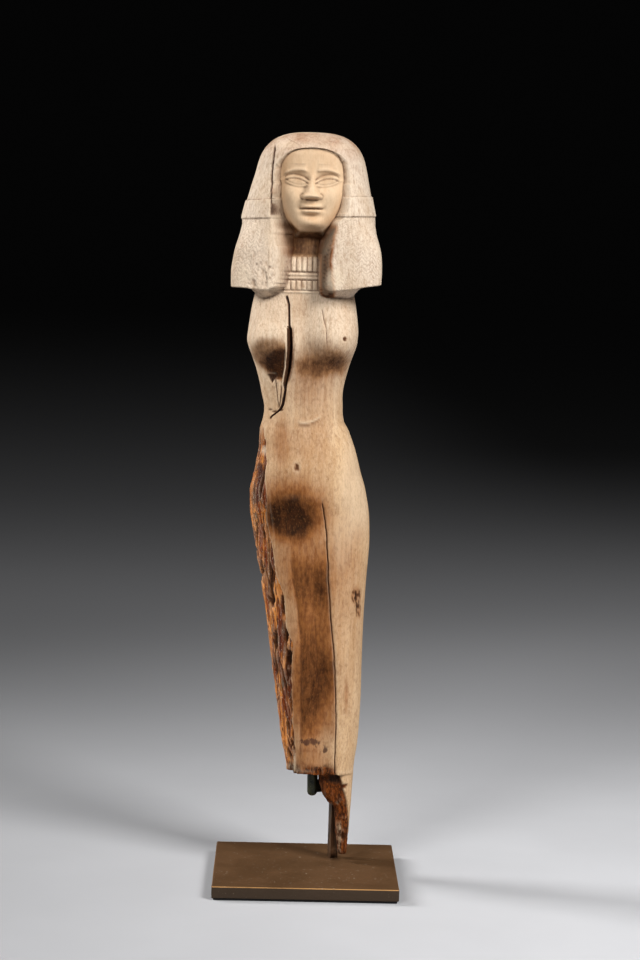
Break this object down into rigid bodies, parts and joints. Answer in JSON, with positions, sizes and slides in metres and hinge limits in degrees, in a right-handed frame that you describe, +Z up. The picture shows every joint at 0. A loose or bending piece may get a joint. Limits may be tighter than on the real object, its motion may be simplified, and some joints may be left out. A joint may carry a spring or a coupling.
{
  "type": "wooden statuette on a mount",
  "caption": "Carved wooden figure of a standing woman with a heavy wig, broad collar and long tight dress, arms and feet lost, held up by a brass rod in a square plate.",
  "frame": {"origin": "on the table, under the middle of the base plate's felt", "axes": "+Z up; the figure looks along -Y; +X to its left, the viewer's right"},
  "size_m": [0.1, 0.1, 0.4084],
  "materials": {
    "wood": "old dry carved wood, worn pale on the wig, brown stained and rotted on one side",
    "rod": "square brass bar with a brown patina, rubbed bright along its corners",
    "prong": "brass with a dark green patina",
    "plate": "dark brown satin patina, rubbed bright along the top edges",
    "felt": "thin black felt"
  },
  "bodies": {
    "root": {"statuette": "wood", "mount_rod": "rod", "side_prong": "prong", "base_plate": "plate", "felt_pad": "felt"}
  },
  "joints": []
}
